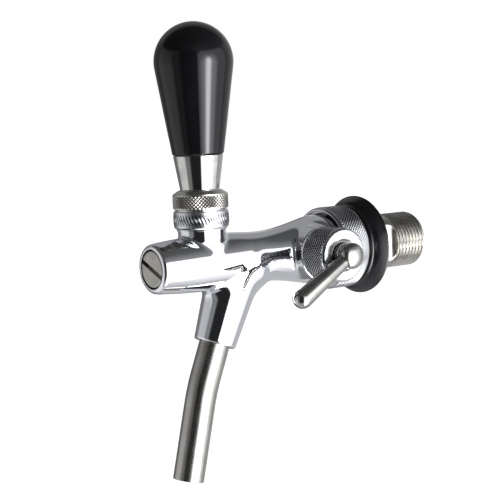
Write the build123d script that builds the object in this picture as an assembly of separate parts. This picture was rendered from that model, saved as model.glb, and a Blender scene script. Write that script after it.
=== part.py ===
from build123d import *
import math
import os

# A chromed beer tap with a side compensator lever, in millimetres.
# The origin is on the shank's axis, in the plane where the flange rests on the tower or wall.
# +Y runs rearwards through the wall, -Y points at the user, +Z is up, and the side lever is at +X.

# ---- driving dimensions ------------------------------------------------------------------------

RUNNING_GAP = 0.05            # radial clearance of a turning or sliding fit
THREAD_GAP = 0.05             # radial clearance left between two plain "threaded" surfaces

# places along the shank's axis
FRONT_Y = -101.5              # front rim of the barrel
NECK_Y = -77.8                # axis of the neck and the handle
BOSS_Y = -31.0                # axis of the side boss and the compensator spindle
BODY_REAR_Y = -12.0           # rear face of the body, inside the coupling nut
NUT_FRONT_Y = -20.0
NUT_REAR_Y = -7.2
SHANK_END_Y = 28.8

# barrel outline, as (y, radius) of the points that a smooth curve runs through
BARREL_OUTLINE = [(-98.5, 9.45), (-88.0, 10.65), (-64.0, 10.65), (-51.0, 10.0), (-40.0, 11.0),
                  (-29.0, 13.2), (-22.0, 14.5)]
FRONT_RIM_R = 8.6
THREAD_R = 14.6               # rear spigot that the coupling nut screws on

# bores
PLUG_R = 7.5
PLUG_SEAT_Y = -93.3
PISTON_R = 6.5
VALVE_SEAT_Y = -53.0
VALVE_SEAT_R = 4.4
VALVE_SEAT_LENGTH = 3.0
CONE_BORE_FRONT_Y = -42.0
CONE_BORE_FRONT_R = 6.6
CONE_BORE_REAR_Y = -24.0
CONE_BORE_REAR_R = 8.0

# neck, with the lever's ball in it
BALL_Z = 14.0
BALL_R = 6.2
NECK_R = 9.2
NECK_RIM_R = 9.9
NECK_RIM_Z = 13.6
NECK_TOP_Z = 17.5
NECK_THREAD_R = 8.9
NECK_BORE_R = 7.7
NECK_FLOOR_Z = 8.2
FINGER_HOLE_R = 7.0
NUT_R = 10.7                  # both knurled nuts on the neck
BONNET_EDGE_Z = 19.1
BONNET_TOP_Z = 20.1
DOME_R = 11.9                 # top of the bonnet nut, round the ball's centre
COLLAR_SPHERE_R = 12.2        # hollow under the lever collar, round the same centre
COLLAR_BOTTOM_Z = 20.5
COLLAR_SHOULDER_Z = 26.3
COLLAR_TOP_Z = 28.0
COLLAR_TOP_R = 8.4

# handle
STEM_R = 3.0
STEM_TOP_Z = 38.0
FINGER_R = 1.8
FINGER_TIP_R = 2.2
FINGER_TIP_Z = 4.0
HANDLE_TRAVEL_DEG = 30.0
FERRULE_BOTTOM_R = 7.5
FERRULE_TOP_R = 9.6
FERRULE_TOP_Z = 41.3
STUD_R = 4.0
INSERT_R = 6.0
INSERT_TOP_Z = 56.0
KNOB_BOTTOM_R = 9.9
KNOB_SPHERE_R = 15.1
KNOB_SPHERE_Z = 76.5

# valve
PISTON_FRONT_Y = -91.0
PISTON_REAR_Y = -69.8
FINGER_SLOT_GAP = 0.12
PISTON_STEM_R = 2.6
SEAL_R = 5.6
SEAL_THICKNESS = 2.0
SCREW_HEAD_R = 4.2
SCREW_R = 1.5
SCREW_LENGTH = 7.5
PISTON_RING_PLACES = [-88.5, -71.2]
RING_CORD_R = 0.7             # seals of the piston and of the spindle
RING_GAP = 0.04               # between a seal ring and the bore around it
RING_GROOVE = 1.5             # width of a seal groove

# outlet leg and tube
LEG_ANGLE = 22.2              # from vertical; the lower end leans to the front
LEG_AXIS_Y = -61.6            # where the leg's axis crosses the barrel's
LEG_LENGTH = 34.3
LEG_TOP_R = 11.2
LEG_END_R = 8.2
TUBE_R = 6.0
TUBE_WALL = 1.0
TUBE_SOCKET = 12.0            # how deep the tube sits in the leg
TUBE_STRAIGHT = 12.0          # straight length below the leg, before the bend
TUBE_BEND_R = 85.0
TUBE_END_ANGLE = 13.8
TUBE_LOWER_LENGTH = 28.7
LEG_BORE_R = 4.7
LEG_FILLET = 7.0              # cast radius between leg and barrel
NECK_FILLET = 1.5
SPOUT_RING_UP = 6.0           # how far above the leg's end the tube's seal sits

# side boss, compensator spindle, lever and cone
BOSS_R = 10.8
BOSS_X = 15.2
SPIGOT_R = 8.6
SPIGOT_X = 22.0
STEM_BORE_R = 5.56
STEM_POCKET_R = 7.2
STEM_POCKET_X = 18.0
SIDE_NUT_X = 28.1
SIDE_NUT_CEILING_X = 24.1
HUB_R = 4.8
HUB_X = 36.0
STEM_INNER_X = 7.6
STEM_SHOULDER_X = 20.05       # outer face of the shoulder that the bush bears on
STEM_RING_PLACES = [10.0, 13.5]
ECCENTRIC = 3.0
PIN_R = 1.5
PIN_X = 2.6
LEVER_X = 31.7
LEVER_DOWN_DEG = 29.5
LEVER_LENGTH = 31.9
LEVER_ROOT_R = 2.75
LEVER_TIP_R = 3.9
CONE_FRONT_Y = -39.6
CONE_REAR_Y = -15.0
CONE_FRONT_R = 5.0
CONE_REAR_R = 6.4

# coupling nut, flange and shank
COUPLING_R = 16.9
COUPLING_MOUTH_R = 15.2
LIP_R = 12.0
LIP_THICKNESS = 1.6
SHANK_HEAD_R = 13.6
WASHER_THICKNESS = 1.5
FLANGE_R = 20.2
SHANK_BODY_R = 11.3
SHANK_THREAD_R = 11.456       # G 5/8 major radius
SHANK_BORE_R = 5.0
SHANK_FLATS = 16.8            # across the two wrench flats
FLATS_END_Y = 13.0


# ---- helpers -----------------------------------------------------------------------------------

ALONG_Y = Plane(origin=(0, 0, 0), x_dir=(1, 0, 0), z_dir=(0, 1, 0))
ALONG_X = Plane(origin=(0, BOSS_Y, 0), x_dir=(0, 1, 0), z_dir=(1, 0, 0))
ALONG_NECK = Plane(origin=(0, NECK_Y, 0), x_dir=(1, 0, 0), z_dir=(0, 0, 1))


def turned(plane, outline):
    """A solid of revolution from (distance along the axis, radius) pairs, starting and ending anywhere."""
    start, end = outline[0][0], outline[-1][0]
    points = [(0, start)] + [(radius, along) for along, radius in outline] + [(0, end)]
    face = make_face(Plane.XZ * Polyline(*points, close=True))
    return plane * revolve(face, axis=Axis.Z)


def rod(plane, start, end, radius):
    """A round bar along the plane's normal."""
    return turned(plane, [(start, radius), (end, radius)])


def ball(plane, along, radius):
    """A ball centred on the plane's axis."""
    return plane * Location((0, 0, along)) * Sphere(radius)


def o_ring(plane, along, centre_radius, cord_radius):
    """A seal ring round the plane's axis."""
    return plane * Location((0, 0, along)) * Torus(centre_radius, cord_radius)


def groove(plane, along, width, inner_radius, outer_radius):
    """The ring of material that a seal groove removes."""
    outer = rod(plane, along - width / 2, along + width / 2, outer_radius)
    return outer - rod(plane, along - width, along + width, inner_radius)


# ---- body --------------------------------------------------------------------------------------

def barrel():
    """The barrel with its rounded front rim, swelling to the rear and ending in the threaded spigot."""
    curve = Spline(*[(radius, y) for y, radius in BARREL_OUTLINE])
    front_y, front_r = BARREL_OUTLINE[0]
    rear_y, rear_r = BARREL_OUTLINE[-1]
    rim = Spline((FRONT_RIM_R, FRONT_Y), (front_r, front_y), tangents=[(0.9, 0.45), (0.12, 1.0)])
    rest = Polyline((rear_r, rear_y), (THREAD_R, rear_y), (THREAD_R, BODY_REAR_Y), (0, BODY_REAR_Y),
                    (0, FRONT_Y), (FRONT_RIM_R, FRONT_Y))
    face = make_face(Wire([rim, curve, *rest.edges()]))
    return revolve(face, axis=Axis.Y)


def leg_plane():
    """Plane on the barrel's axis whose normal runs down the outlet leg, leaning to the front."""
    angle = math.radians(LEG_ANGLE)
    return Plane(origin=(0, LEG_AXIS_Y, 0), x_dir=(1, 0, 0), z_dir=(0, -math.sin(angle), -math.cos(angle)))


def tap_body():
    """Cast body: barrel, neck, outlet leg and side boss, with every bore cut through it."""
    neck = turned(ALONG_NECK, [(0, NECK_R), (NECK_RIM_Z - 1.2, NECK_R), (NECK_RIM_Z - 0.4, NECK_RIM_R),
                               (NECK_RIM_Z, NECK_RIM_R), (NECK_RIM_Z, NECK_THREAD_R),
                               (NECK_TOP_Z, NECK_THREAD_R)])
    leg = turned(leg_plane(), [(0, LEG_TOP_R), (LEG_LENGTH - 0.6, LEG_END_R),
                               (LEG_LENGTH, LEG_END_R - 0.5)])
    boss = turned(ALONG_X, [(0, BOSS_R), (BOSS_X, BOSS_R), (BOSS_X, SPIGOT_R), (SPIGOT_X, SPIGOT_R)])
    solid = barrel() + neck + leg
    solid = soften_junctions(solid)
    solid += boss

    solid -= rod(ALONG_Y, FRONT_Y - 1, PLUG_SEAT_Y, PLUG_R)
    solid -= rod(ALONG_Y, PLUG_SEAT_Y, VALVE_SEAT_Y - VALVE_SEAT_LENGTH, PISTON_R)
    solid -= rod(ALONG_Y, VALVE_SEAT_Y - VALVE_SEAT_LENGTH, VALVE_SEAT_Y, VALVE_SEAT_R)
    solid -= turned(ALONG_Y, [(VALVE_SEAT_Y, CONE_BORE_FRONT_R), (CONE_BORE_FRONT_Y, CONE_BORE_FRONT_R),
                              (CONE_BORE_REAR_Y, CONE_BORE_REAR_R), (BODY_REAR_Y, CONE_BORE_REAR_R)])
    solid -= rod(ALONG_NECK, 0, NECK_FLOOR_Z, FINGER_HOLE_R)
    solid -= rod(ALONG_NECK, NECK_FLOOR_Z, NECK_TOP_Z, NECK_BORE_R)
    solid -= rod(ALONG_X, 0, STEM_POCKET_X, STEM_BORE_R)
    solid -= rod(ALONG_X, STEM_POCKET_X, SPIGOT_X, STEM_POCKET_R)
    solid -= rod(leg_plane(), 3, LEG_LENGTH, LEG_BORE_R)
    solid -= rod(leg_plane(), LEG_LENGTH - TUBE_SOCKET, LEG_LENGTH, TUBE_R + 0.02)
    ring_place = LEG_LENGTH - SPOUT_RING_UP
    solid -= rod(leg_plane(), ring_place - 0.8, ring_place + 0.8, TUBE_R + 0.9)
    return solid


def soften_junctions(solid):
    """Cast radii where the leg leaves the barrel and where the neck leaves it."""
    leg_edges = [e for e in solid.edges() if -76 < e.center().Y < -48 and -13 < e.center().Z < -3]
    solid = solid.fillet(LEG_FILLET, leg_edges)
    neck_edges = [e for e in solid.edges() if abs(e.center().Y - NECK_Y) < 3 and 4 < e.center().Z < 11]
    return solid.fillet(NECK_FILLET, neck_edges)


def front_plug():
    """Slotted screw plug, flush with the barrel's front rim."""
    head_r, thread_r = PLUG_R - 0.5, PLUG_R - THREAD_GAP
    groove_y, groove_width, groove_r = FRONT_Y + 2.1, 1.6, 5.85
    solid = turned(ALONG_Y, [(FRONT_Y + 0.1, head_r - 0.3), (FRONT_Y + 0.4, head_r),
                             (groove_y - groove_width / 2, head_r),
                             (groove_y - groove_width / 2, groove_r),
                             (groove_y + groove_width / 2, groove_r),
                             (groove_y + groove_width / 2, thread_r), (PLUG_SEAT_Y - 0.02, thread_r)])
    slot_width, slot_depth, slot_turn = 1.2, 1.0, 24.0
    slot = Rotation(0, slot_turn, 0) * Box(4 * PLUG_R, 2 * slot_depth, slot_width)
    return solid - Pos(0, FRONT_Y + 0.1, 0) * slot


def front_plug_oring():
    return o_ring(ALONG_Y, FRONT_Y + 2.1, 6.66, 0.78)


# ---- neck --------------------------------------------------------------------------------------

def lower_ball_seat():
    """Plastic cup that the ball rests in, with room for the finger to swing."""
    inner_r, top_z = 5.5, 12.4
    ring = rod(ALONG_NECK, NECK_FLOOR_Z, top_z, NECK_BORE_R - 0.03)
    ring -= rod(ALONG_NECK, NECK_FLOOR_Z, top_z, inner_r)
    return ring - ball(ALONG_NECK, BALL_Z, BALL_R + RUNNING_GAP)


def lever_oring():
    """Seal in the space between the ball's equator and the neck's bore."""
    cord_r = (NECK_BORE_R - BALL_R) / 2 - 0.04
    return o_ring(ALONG_NECK, BALL_Z, (NECK_BORE_R + BALL_R) / 2, cord_r)


def upper_ball_seat():
    """Friction cup over the ball, level with the neck's top."""
    inner_r, bottom_z = 5.65, 15.6
    ring = rod(ALONG_NECK, bottom_z, NECK_TOP_Z, NECK_BORE_R - 0.03)
    ring -= rod(ALONG_NECK, bottom_z, NECK_TOP_Z, inner_r)
    return ring - ball(ALONG_NECK, BALL_Z, BALL_R + RUNNING_GAP)


def bonnet_nut():
    """Lower knurled nut: screws on the neck, presses the friction cup, and has a domed top."""
    solid = turned(ALONG_NECK, [(NECK_RIM_Z + 0.05, NUT_R - 0.6), (NECK_RIM_Z + 0.65, NUT_R),
                                (BONNET_EDGE_Z, NUT_R), (BONNET_TOP_Z, NUT_R - 0.5),
                                (BALL_Z + DOME_R, NUT_R - 0.5)])
    solid &= ball(ALONG_NECK, BALL_Z, DOME_R)
    solid -= rod(ALONG_NECK, NECK_RIM_Z - 1, NECK_TOP_Z, NECK_THREAD_R + THREAD_GAP)
    slope = math.tan(math.radians(HANDLE_TRAVEL_DEG))
    mouth_r = STEM_R / math.cos(math.radians(HANDLE_TRAVEL_DEG)) + 0.2
    low, high = NECK_TOP_Z - BALL_Z, DOME_R
    opening = turned(ALONG_NECK, [(NECK_TOP_Z, mouth_r + low * slope),
                                  (BALL_Z + high, mouth_r + high * slope)])
    return solid - opening


# ---- handle ------------------------------------------------------------------------------------

def operating_lever():
    """Steel lever: round finger tip, ball and threaded stem, all in one turned piece."""
    tip = ball(ALONG_NECK, FINGER_TIP_Z, FINGER_TIP_R)
    finger = rod(ALONG_NECK, FINGER_TIP_Z, BALL_Z, FINGER_R)
    stem = rod(ALONG_NECK, BALL_Z, STEM_TOP_Z, STEM_R)
    return ball(ALONG_NECK, BALL_Z, BALL_R) + tip + finger + stem


def lever_collar():
    """Upper knurled nut: a bell on the stem that covers the bonnet nut's dome and locks the ferrule."""
    solid = turned(ALONG_NECK, [(COLLAR_BOTTOM_Z, NUT_R - 0.3), (COLLAR_BOTTOM_Z + 0.3, NUT_R),
                                (COLLAR_SHOULDER_Z - 0.3, NUT_R), (COLLAR_SHOULDER_Z, NUT_R - 0.3),
                                (COLLAR_TOP_Z, COLLAR_TOP_R)])
    solid -= ball(ALONG_NECK, BALL_Z, COLLAR_SPHERE_R)
    return solid - rod(ALONG_NECK, COLLAR_BOTTOM_Z, COLLAR_TOP_Z, STEM_R + 0.02)


def handle_ferrule():
    """Polished cone under the handle, screwed on the stem, with a stud for the handle's insert."""
    solid = turned(ALONG_NECK, [(COLLAR_TOP_Z + 0.02, FERRULE_BOTTOM_R - 0.5),
                                (COLLAR_TOP_Z + 0.5, FERRULE_BOTTOM_R),
                                (FERRULE_TOP_Z - 0.3, FERRULE_TOP_R), (FERRULE_TOP_Z, FERRULE_TOP_R - 0.3),
                                (FERRULE_TOP_Z, STUD_R), (INSERT_TOP_Z - 3, STUD_R)])
    return solid - rod(ALONG_NECK, COLLAR_TOP_Z, STEM_TOP_Z + 0.02, STEM_R + 0.02)


def handle_insert():
    """Threaded brass insert moulded in the handle."""
    solid = rod(ALONG_NECK, FERRULE_TOP_Z + 0.2, INSERT_TOP_Z, INSERT_R)
    return solid - rod(ALONG_NECK, FERRULE_TOP_Z + 0.2, INSERT_TOP_Z - 2, STUD_R + 0.02)


def handle_knob():
    """Pear-shaped handle: a straight cone that runs into a ball end without a corner."""
    bottom_z = FERRULE_TOP_Z + 0.15
    edge_radius = 0.6
    # the straight flank is the tangent to the ball from the edge of the handle's foot
    foot_r, foot_z = KNOB_BOTTOM_R, bottom_z + edge_radius
    reach = math.hypot(foot_r, foot_z - KNOB_SPHERE_Z)
    touch_angle = math.atan2(foot_z - KNOB_SPHERE_Z, foot_r) + math.acos(KNOB_SPHERE_R / reach)

    def on_ball(angle):
        return (KNOB_SPHERE_R * math.cos(angle), KNOB_SPHERE_Z + KNOB_SPHERE_R * math.sin(angle))

    touch, top = on_ball(touch_angle), (0, KNOB_SPHERE_Z + KNOB_SPHERE_R)
    foot = Polyline((0, bottom_z), (foot_r - edge_radius, bottom_z), (foot_r, foot_z), touch)
    crown = ThreePointArc(touch, on_ball((touch_angle + math.pi / 2) / 2), top)
    face = make_face(Plane.XZ * Wire([*foot.edges(), crown, Line(top, (0, bottom_z))]))
    solid = ALONG_NECK * revolve(face, axis=Axis.Z)
    return solid - rod(ALONG_NECK, bottom_z, INSERT_TOP_Z, INSERT_R + 0.01)


# ---- valve -------------------------------------------------------------------------------------

def valve_piston():
    """Piston: a guide land with two seal grooves, a pocket for the finger, and a thin rear stem."""
    solid = turned(ALONG_Y, [(PISTON_FRONT_Y, PISTON_R - 0.5),
                             (PISTON_FRONT_Y + 0.5, PISTON_R - RUNNING_GAP),
                             (PISTON_REAR_Y, PISTON_R - RUNNING_GAP), (PISTON_REAR_Y, PISTON_STEM_R),
                             (VALVE_SEAT_Y + 0.02, PISTON_STEM_R)])
    for y in PISTON_RING_PLACES:
        solid -= groove(ALONG_Y, y, RING_GROOVE, PISTON_R - 1.5, PISTON_R)
    pocket_r = FINGER_TIP_R + FINGER_SLOT_GAP
    solid -= rod(ALONG_NECK, 0.8, PISTON_R + 1, pocket_r)
    solid -= turned(ALONG_NECK, [(5.2, pocket_r), (PISTON_R + 1, pocket_r + 1.2)])
    return solid - rod(ALONG_Y, VALVE_SEAT_Y - SCREW_LENGTH - 0.5, VALVE_SEAT_Y + 1, SCREW_R)


def piston_orings():
    centre_r = PISTON_R - RING_GAP - RING_CORD_R
    rings = [o_ring(ALONG_Y, y, centre_r, RING_CORD_R) for y in PISTON_RING_PLACES]
    return Compound(children=rings)


def valve_seal():
    """Rubber disc that closes on the seat from behind."""
    front = VALVE_SEAT_Y + 0.02
    disc = rod(ALONG_Y, front, front + SEAL_THICKNESS, SEAL_R)
    return disc - rod(ALONG_Y, front, front + SEAL_THICKNESS, SCREW_R + 0.02)


def valve_screw():
    """Screw that holds the disc on the piston's stem."""
    head_y = VALVE_SEAT_Y + 0.02 + SEAL_THICKNESS
    solid = turned(ALONG_Y, [(VALVE_SEAT_Y - SCREW_LENGTH, SCREW_R), (head_y, SCREW_R),
                             (head_y, SCREW_HEAD_R),
                             (head_y + 1.6, SCREW_HEAD_R), (head_y + 2.2, SCREW_HEAD_R - 0.6)])
    slot = Box(3 * SCREW_HEAD_R, 1.6, 0.9)
    return solid - Pos(0, head_y + 2.2, 0) * slot


# ---- outlet tube -------------------------------------------------------------------------------

def tube_path():
    """Centreline: straight out of the leg, one gentle bend, then straight down to the mouth."""
    plane = leg_plane()
    start = plane.from_local_coords((0, 0, LEG_LENGTH - TUBE_SOCKET + 0.05))
    bend_start = plane.from_local_coords((0, 0, LEG_LENGTH + TUBE_STRAIGHT))
    before, after = math.radians(LEG_ANGLE), math.radians(TUBE_END_ANGLE)

    def on_bend(angle):
        return bend_start + Vector(0, TUBE_BEND_R * (math.cos(before) - math.cos(angle)),
                                   TUBE_BEND_R * (math.sin(angle) - math.sin(before)))

    arc = ThreePointArc(bend_start, on_bend((before + after) / 2), on_bend(after))
    mouth = on_bend(after) + Vector(0, -math.sin(after), -math.cos(after)) * TUBE_LOWER_LENGTH
    return Wire([Line(start, bend_start), arc, Line(on_bend(after), mouth)])


def spout_tube():
    path = tube_path()
    plane = Plane(origin=path @ 0, x_dir=(1, 0, 0), z_dir=path % 0)
    outside = sweep(plane * Circle(TUBE_R), path=path)
    return outside - sweep(plane * Circle(TUBE_R - TUBE_WALL), path=path)


def spout_oring():
    return o_ring(leg_plane(), LEG_LENGTH - SPOUT_RING_UP, TUBE_R + 0.44, 0.4)


# ---- compensator -------------------------------------------------------------------------------

def compensator_nut():
    """Knurled cap that screws on the side boss and keeps the spindle in."""
    solid = turned(ALONG_X, [(BOSS_X + 0.05, BOSS_R - 0.3), (BOSS_X + 0.35, BOSS_R),
                             (SIDE_NUT_X - 0.6, BOSS_R),
                             (SIDE_NUT_X, BOSS_R - 0.6)])
    solid -= rod(ALONG_X, BOSS_X, SIDE_NUT_CEILING_X, SPIGOT_R + THREAD_GAP)
    return solid - rod(ALONG_X, BOSS_X, SIDE_NUT_X, HUB_R + 0.2)


def stem_bush():
    """Bearing bush between the spindle's shoulder and the cap."""
    inner_x = STEM_SHOULDER_X + RUNNING_GAP
    solid = turned(ALONG_X, [(inner_x, STEM_POCKET_R - 0.05), (SPIGOT_X, STEM_POCKET_R - 0.05),
                             (SPIGOT_X + 0.05, SPIGOT_R - 0.3),
                             (SIDE_NUT_CEILING_X - 0.02, SPIGOT_R - 0.3)])
    return solid - rod(ALONG_X, inner_x, SIDE_NUT_CEILING_X, HUB_R + RUNNING_GAP)


def compensator_stem():
    """Spindle: eccentric pin, journal with two seal grooves, shoulder, and the hub that shows outside."""
    journal_r = STEM_BORE_R - RUNNING_GAP - 0.01
    solid = turned(ALONG_X, [(STEM_INNER_X, journal_r), (STEM_POCKET_X + 0.05, journal_r),
                             (STEM_POCKET_X + 0.05, STEM_POCKET_R - 0.4),
                             (STEM_SHOULDER_X, STEM_POCKET_R - 0.4),
                             (STEM_SHOULDER_X, HUB_R), (HUB_X - 0.8, HUB_R), (HUB_X - 0.25, HUB_R - 0.6),
                             (HUB_X, HUB_R - 2.2)])
    for x in STEM_RING_PLACES:
        solid -= groove(ALONG_X, x, RING_GROOVE, journal_r - 1.4, journal_r + 0.1)
    eccentric_axis = Plane(origin=(0, BOSS_Y, -ECCENTRIC), x_dir=(0, 1, 0), z_dir=(1, 0, 0))
    solid += rod(eccentric_axis, PIN_X, STEM_INNER_X + 1, PIN_R)
    return solid - rod(lever_axis(), -HUB_R, HUB_R + 1, LEVER_ROOT_R - 0.6)


def stem_orings():
    centre_r = STEM_BORE_R - RING_GAP - RING_CORD_R
    rings = [o_ring(ALONG_X, x, centre_r, RING_CORD_R) for x in STEM_RING_PLACES]
    return Compound(children=rings)


def lever_axis():
    """Plane on the spindle's axis whose normal runs along the lever rod."""
    angle = math.radians(LEVER_DOWN_DEG)
    down_the_rod = (0, -math.cos(angle), -math.sin(angle))
    return Plane(origin=(LEVER_X, BOSS_Y, 0), x_dir=(1, 0, 0), z_dir=down_the_rod)


def compensator_lever():
    """Tapered lever rod with a round end, screwed across the hub."""
    root = HUB_R + 0.02
    plane = lever_axis()
    slope = (LEVER_TIP_R - LEVER_ROOT_R) / (LEVER_LENGTH - LEVER_TIP_R - root)
    solid = turned(plane, [(root - 1.5, LEVER_ROOT_R - 1.5 * slope),
                           (LEVER_LENGTH - LEVER_TIP_R, LEVER_TIP_R)])
    solid += ball(plane, LEVER_LENGTH - LEVER_TIP_R, LEVER_TIP_R)
    solid -= rod(ALONG_X, LEVER_X - 5, LEVER_X + 5, root)
    return solid + rod(plane, -HUB_R + 0.6, root + 1, LEVER_ROOT_R - 0.62)


def compensator_cone():
    """Tapered restrictor with guide ribs; the spindle's pin works in the slot milled across its side."""
    solid = turned(ALONG_Y, [(CONE_FRONT_Y, CONE_FRONT_R - 1.2), (CONE_FRONT_Y + 1.2, CONE_FRONT_R),
                             (CONE_REAR_Y, CONE_REAR_R)])
    rib_r = CONE_BORE_REAR_R - RUNNING_GAP
    rib_start, rib_end = CONE_BORE_REAR_Y + 2.8, CONE_REAR_Y
    ribs = rod(ALONG_Y, rib_start, rib_end, rib_r)
    cross = Box(2 * rib_r + 1, rib_end - rib_start, 1.4) + Box(1.4, rib_end - rib_start, 2 * rib_r + 1)
    solid += ribs & (Pos(0, (rib_start + rib_end) / 2, 0) * cross)
    slot_floor_x, slot_half = PIN_X - 0.3, PIN_R + 0.12
    slot = Box(2 * CONE_REAR_R, 2 * slot_half, 4 * CONE_REAR_R)
    return solid - Pos(slot_floor_x + CONE_REAR_R, BOSS_Y, 0) * slot


# ---- rear end ----------------------------------------------------------------------------------

def coupling_nut():
    """Large knurled ring nut, held by the shank's head and screwed on the body's rear spigot."""
    solid = turned(ALONG_Y, [(NUT_FRONT_Y, COUPLING_R - 0.4), (NUT_FRONT_Y + 0.4, COUPLING_R),
                             (NUT_REAR_Y - 0.5, COUPLING_R), (NUT_REAR_Y, COUPLING_R - 0.5)])
    solid -= rod(ALONG_Y, NUT_FRONT_Y, NUT_FRONT_Y + 2.6, COUPLING_MOUTH_R)
    solid -= rod(ALONG_Y, NUT_FRONT_Y, NUT_REAR_Y - LIP_THICKNESS, THREAD_R + THREAD_GAP)
    return solid - rod(ALONG_Y, NUT_FRONT_Y, NUT_REAR_Y, LIP_R)


def shank_washer():
    ring = rod(ALONG_Y, BODY_REAR_Y, BODY_REAR_Y + WASHER_THICKNESS, SHANK_HEAD_R)
    return ring - rod(ALONG_Y, BODY_REAR_Y, BODY_REAR_Y + WASHER_THICKNESS, CONE_BORE_REAR_R + 0.5)


def shank():
    """Threaded tube through the wall: head inside the coupling nut, two wrench flats, threaded rear end."""
    head_y = BODY_REAR_Y + WASHER_THICKNESS
    head_end_y = NUT_REAR_Y - LIP_THICKNESS - RUNNING_GAP
    chamfer = 0.8
    solid = turned(ALONG_Y, [(head_y, SHANK_HEAD_R), (head_end_y, SHANK_HEAD_R),
                             (head_end_y, SHANK_BODY_R),
                             (FLATS_END_Y, SHANK_BODY_R), (FLATS_END_Y, SHANK_THREAD_R),
                             (SHANK_END_Y - chamfer, SHANK_THREAD_R),
                             (SHANK_END_Y, SHANK_THREAD_R - chamfer)])
    solid -= rod(ALONG_Y, head_y, SHANK_END_Y, SHANK_BORE_R)
    flats_start_y = 0.6
    length = FLATS_END_Y - flats_start_y
    for side in (-1, 1):
        flat = Box(SHANK_BODY_R, length, 3 * SHANK_BODY_R)
        solid -= Pos(side * (SHANK_FLATS / 2 + SHANK_BODY_R / 2), flats_start_y + length / 2, 0) * flat
    return solid


def wall_flange():
    """Black flange: a flared rim round a shallow recess, flat at the back."""
    front = NUT_REAR_Y + 0.05
    recess, lip_r, rim_slope = 1.4, LIP_R + 3.5, 0.62
    outline = [(front + recess, LIP_R + 3.0), (front + recess, lip_r),
               (front + 0.7, lip_r + 0.1), (front + 0.4, lip_r + 0.4), (front + 0.7, lip_r + 0.9),
               (-0.7, FLANGE_R - 0.7 * rim_slope), (0, FLANGE_R)]
    solid = turned(ALONG_Y, outline)
    return solid - rod(ALONG_Y, front, 0, SHANK_BODY_R + 0.1)


# ---- write every piece -------------------------------------------------------------------------

PIECES = [tap_body, front_plug, front_plug_oring, lower_ball_seat, lever_oring, upper_ball_seat, bonnet_nut,
          operating_lever, lever_collar, handle_ferrule, handle_insert, handle_knob,
          valve_piston, piston_orings, valve_seal, valve_screw, spout_tube, spout_oring,
          compensator_nut, stem_bush, compensator_stem, stem_orings, compensator_lever, compensator_cone,
          coupling_nut, shank_washer, shank, wall_flange]

os.makedirs("parts", exist_ok=True)
for piece in PIECES:
    export_step(piece(), "parts/" + piece.__name__ + ".step")
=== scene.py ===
import math

import bmesh
import bpy
import numpy as np
from mathutils import Matrix, Vector


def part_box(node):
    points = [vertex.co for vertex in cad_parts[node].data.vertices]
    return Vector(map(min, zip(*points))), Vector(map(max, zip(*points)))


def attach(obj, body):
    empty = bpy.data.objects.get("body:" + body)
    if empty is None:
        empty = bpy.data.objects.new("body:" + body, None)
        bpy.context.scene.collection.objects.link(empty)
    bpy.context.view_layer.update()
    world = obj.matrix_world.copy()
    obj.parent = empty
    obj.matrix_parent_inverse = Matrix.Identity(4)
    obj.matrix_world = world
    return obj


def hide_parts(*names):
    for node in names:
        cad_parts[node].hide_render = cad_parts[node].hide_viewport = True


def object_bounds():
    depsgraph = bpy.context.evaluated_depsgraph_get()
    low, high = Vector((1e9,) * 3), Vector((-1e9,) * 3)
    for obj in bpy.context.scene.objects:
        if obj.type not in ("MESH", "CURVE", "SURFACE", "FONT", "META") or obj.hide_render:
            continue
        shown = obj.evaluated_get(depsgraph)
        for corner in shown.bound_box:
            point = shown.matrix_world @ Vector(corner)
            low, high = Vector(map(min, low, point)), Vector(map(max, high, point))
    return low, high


# Looks of a chromed beer tap with a side compensator lever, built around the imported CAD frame.
# Lengths are in millimetres until a mesh is written; the frame and Blender are in metres.
# The shank's axis is the Y axis, the user stands at -Y, and the side lever is at +X.

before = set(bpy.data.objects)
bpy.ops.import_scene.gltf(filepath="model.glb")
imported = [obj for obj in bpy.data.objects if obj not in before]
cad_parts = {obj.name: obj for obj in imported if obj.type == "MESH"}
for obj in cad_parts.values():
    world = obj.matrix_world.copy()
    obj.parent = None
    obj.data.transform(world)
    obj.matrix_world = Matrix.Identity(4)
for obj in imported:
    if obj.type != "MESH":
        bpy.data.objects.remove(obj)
cad_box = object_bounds()

MM = 0.001
X, Y, Z = np.eye(3)

# ---- driving dimensions that the frame's boxes don't give ---------------------------------------

LEG_LEAN = 22.2               # degrees from vertical, lower end to the front
LEG_LENGTH = 34.3             # from the barrel's axis to the leg's end
LEG_TOP_R, LEG_END_R = 11.2, 8.2
TUBE_SOCKET = 12.0
TUBE_STRAIGHT = 12.0          # below the leg, before the bend
TUBE_BEND_R = 85.0
TUBE_END_LEAN = 13.8
TUBE_LOWER_LENGTH = 28.7
TUBE_R, TUBE_WALL = 6.0, 1.0
BALL_Z = 14.0                 # centre of the lever's ball
DOME_R = 11.9                 # bonnet nut's dome, round the ball
BELL_R = 12.45                # hollow under the collar, round the ball
LEVER_DROP = 29.5             # degrees that the side lever hangs down from level
STEM_R = 3.0
THREAD_PITCH = 1.814
THREAD_DEPTH = 1.162

# outside of the casting
BARREL_R = [(-92, 10.2), (-87, 10.55), (-76, 10.75), (-64, 10.65), (-51, 10.0), (-40, 11.0),
            (-29, 13.2), (-24, 14.1), (-21.5, 14.0), (-19.5, 13.3)]       # radius at places along Y
REAR_R = 13.2
NECK_R, NECK_SPIGOT_R = 9.2, 8.85
BOSS_R, BOSS_SPIGOT_R, BOSS_SPIGOT_LENGTH = 10.8, 8.55, 6.8
NECK_BLEND, BOSS_BLEND, WEB_BLEND = 1.5, 1.6, 0.7
ARCH_Y, ARCH_CURVE = -71.0, 0.02        # the leg's top sinks away from its highest place like a parabola

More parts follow.
